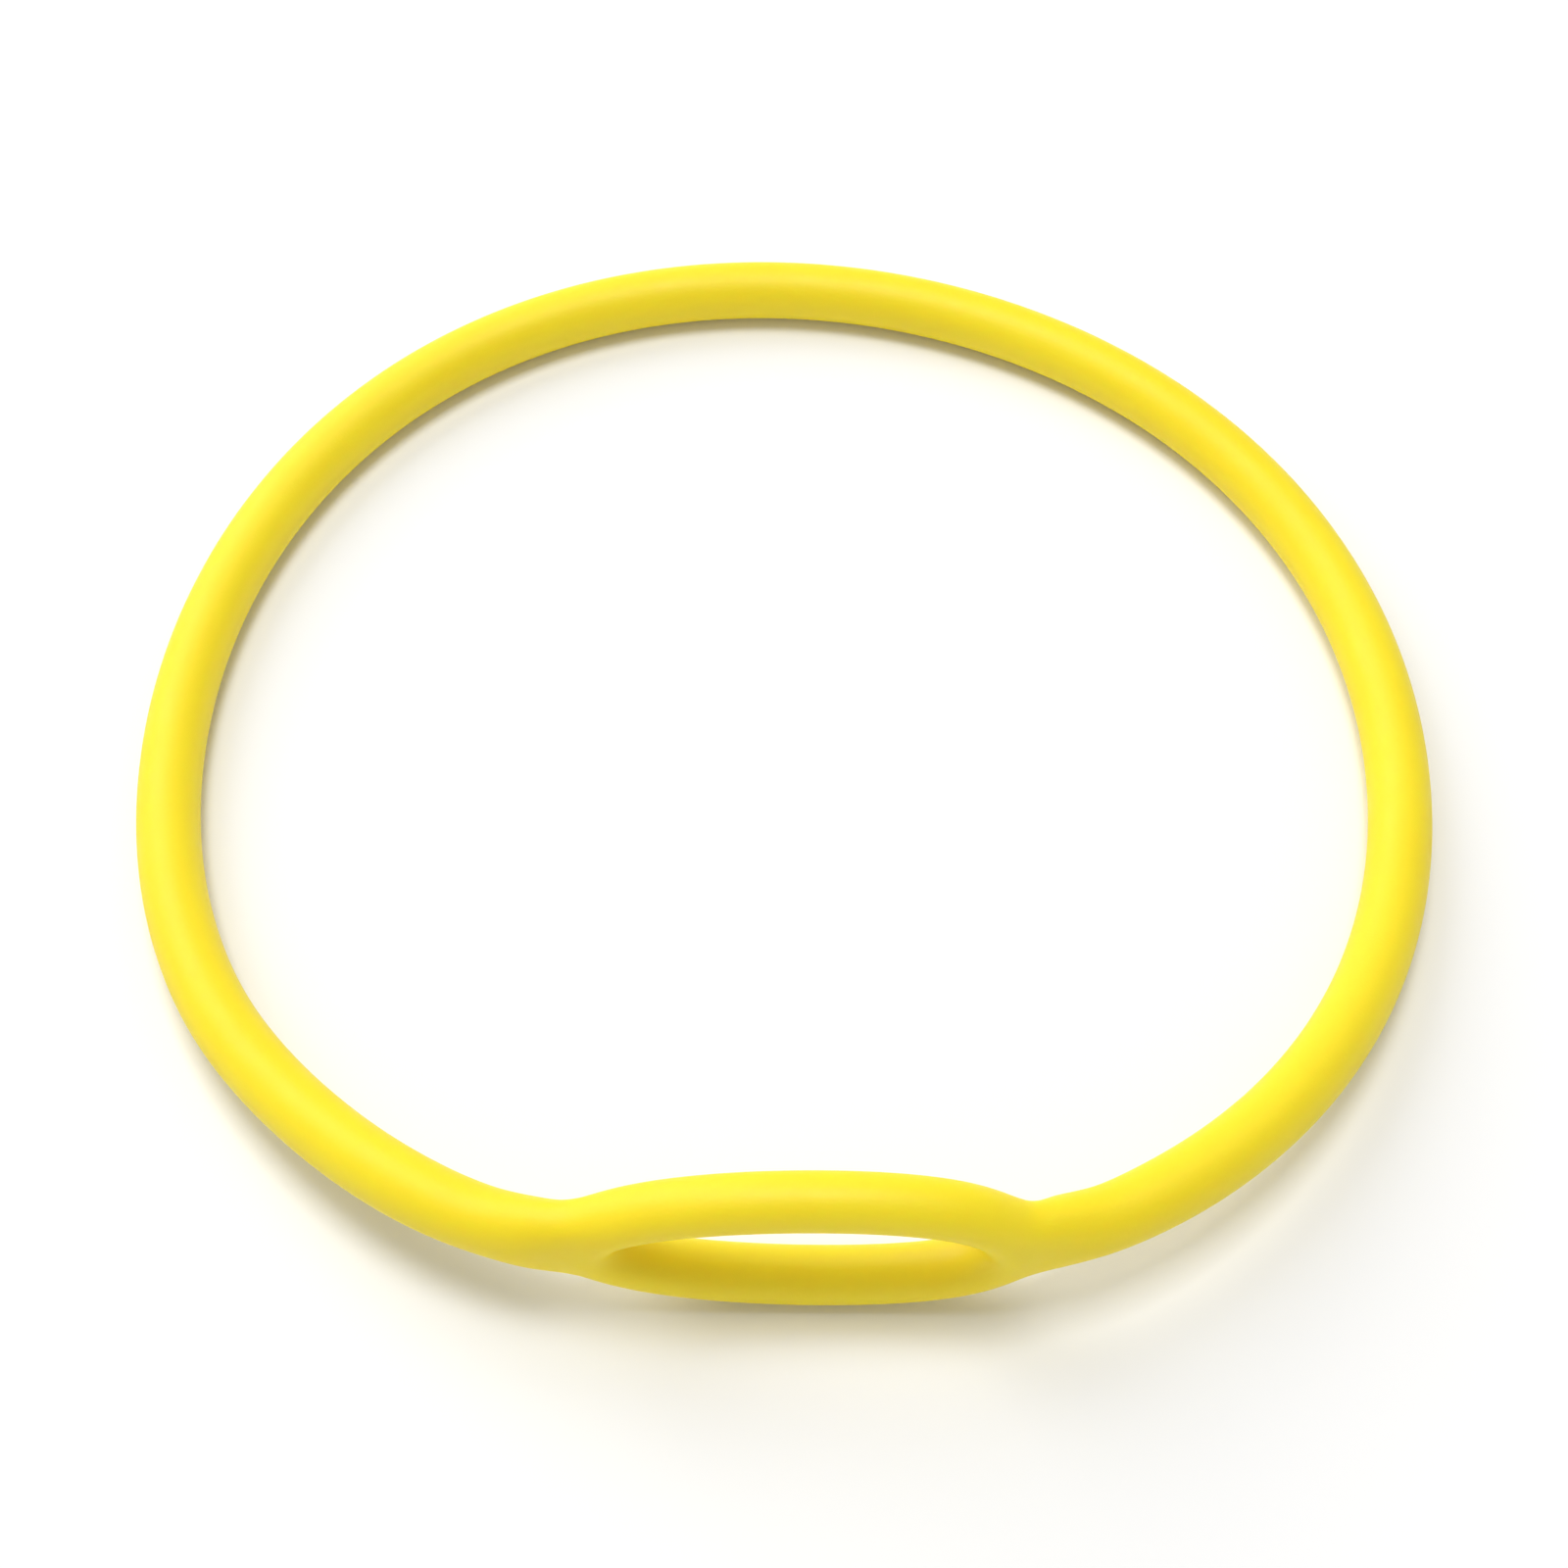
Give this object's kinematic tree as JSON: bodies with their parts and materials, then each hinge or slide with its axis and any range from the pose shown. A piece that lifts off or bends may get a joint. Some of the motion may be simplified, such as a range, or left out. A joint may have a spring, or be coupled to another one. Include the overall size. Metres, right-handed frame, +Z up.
{
  "type": "regulator mouthpiece necklace",
  "caption": "Soft silicone necklace: a round cord loop worn over the head, with a small eye-shaped loop at the front that grips a diving regulator's mouthpiece.",
  "frame": {"origin": "on the surface that the necklace lies on, at the middle of its footprint", "axes": "+Z up; -Y towards the small mouthpiece loop; +X along the line from neck to neck, to the right as seen from the mouthpiece loop's side looking along +Y"},
  "size_m": [0.1648, 0.1612, 0.0255],
  "materials": {
    "cord_silicone": "satin, moulded yellow silicone",
    "grip_silicone": "satin, moulded yellow silicone"
  },
  "bodies": {
    "neck_loop": {"neck_loop": "cord_silicone"},
    "mouthpiece_loop": {"mouthpiece_loop": "grip_silicone"}
  },
  "joints": [
    {"name": "mouthpiece_twist", "type": "hinge", "parent": "neck_loop", "child": "mouthpiece_loop", "pos_m": [0.00178, -0.07575, 0.01247], "axis": [1, 0, 0], "range_deg": [-60, 60], "stiffness_Nm_per_rad": 0.024}
  ]
}
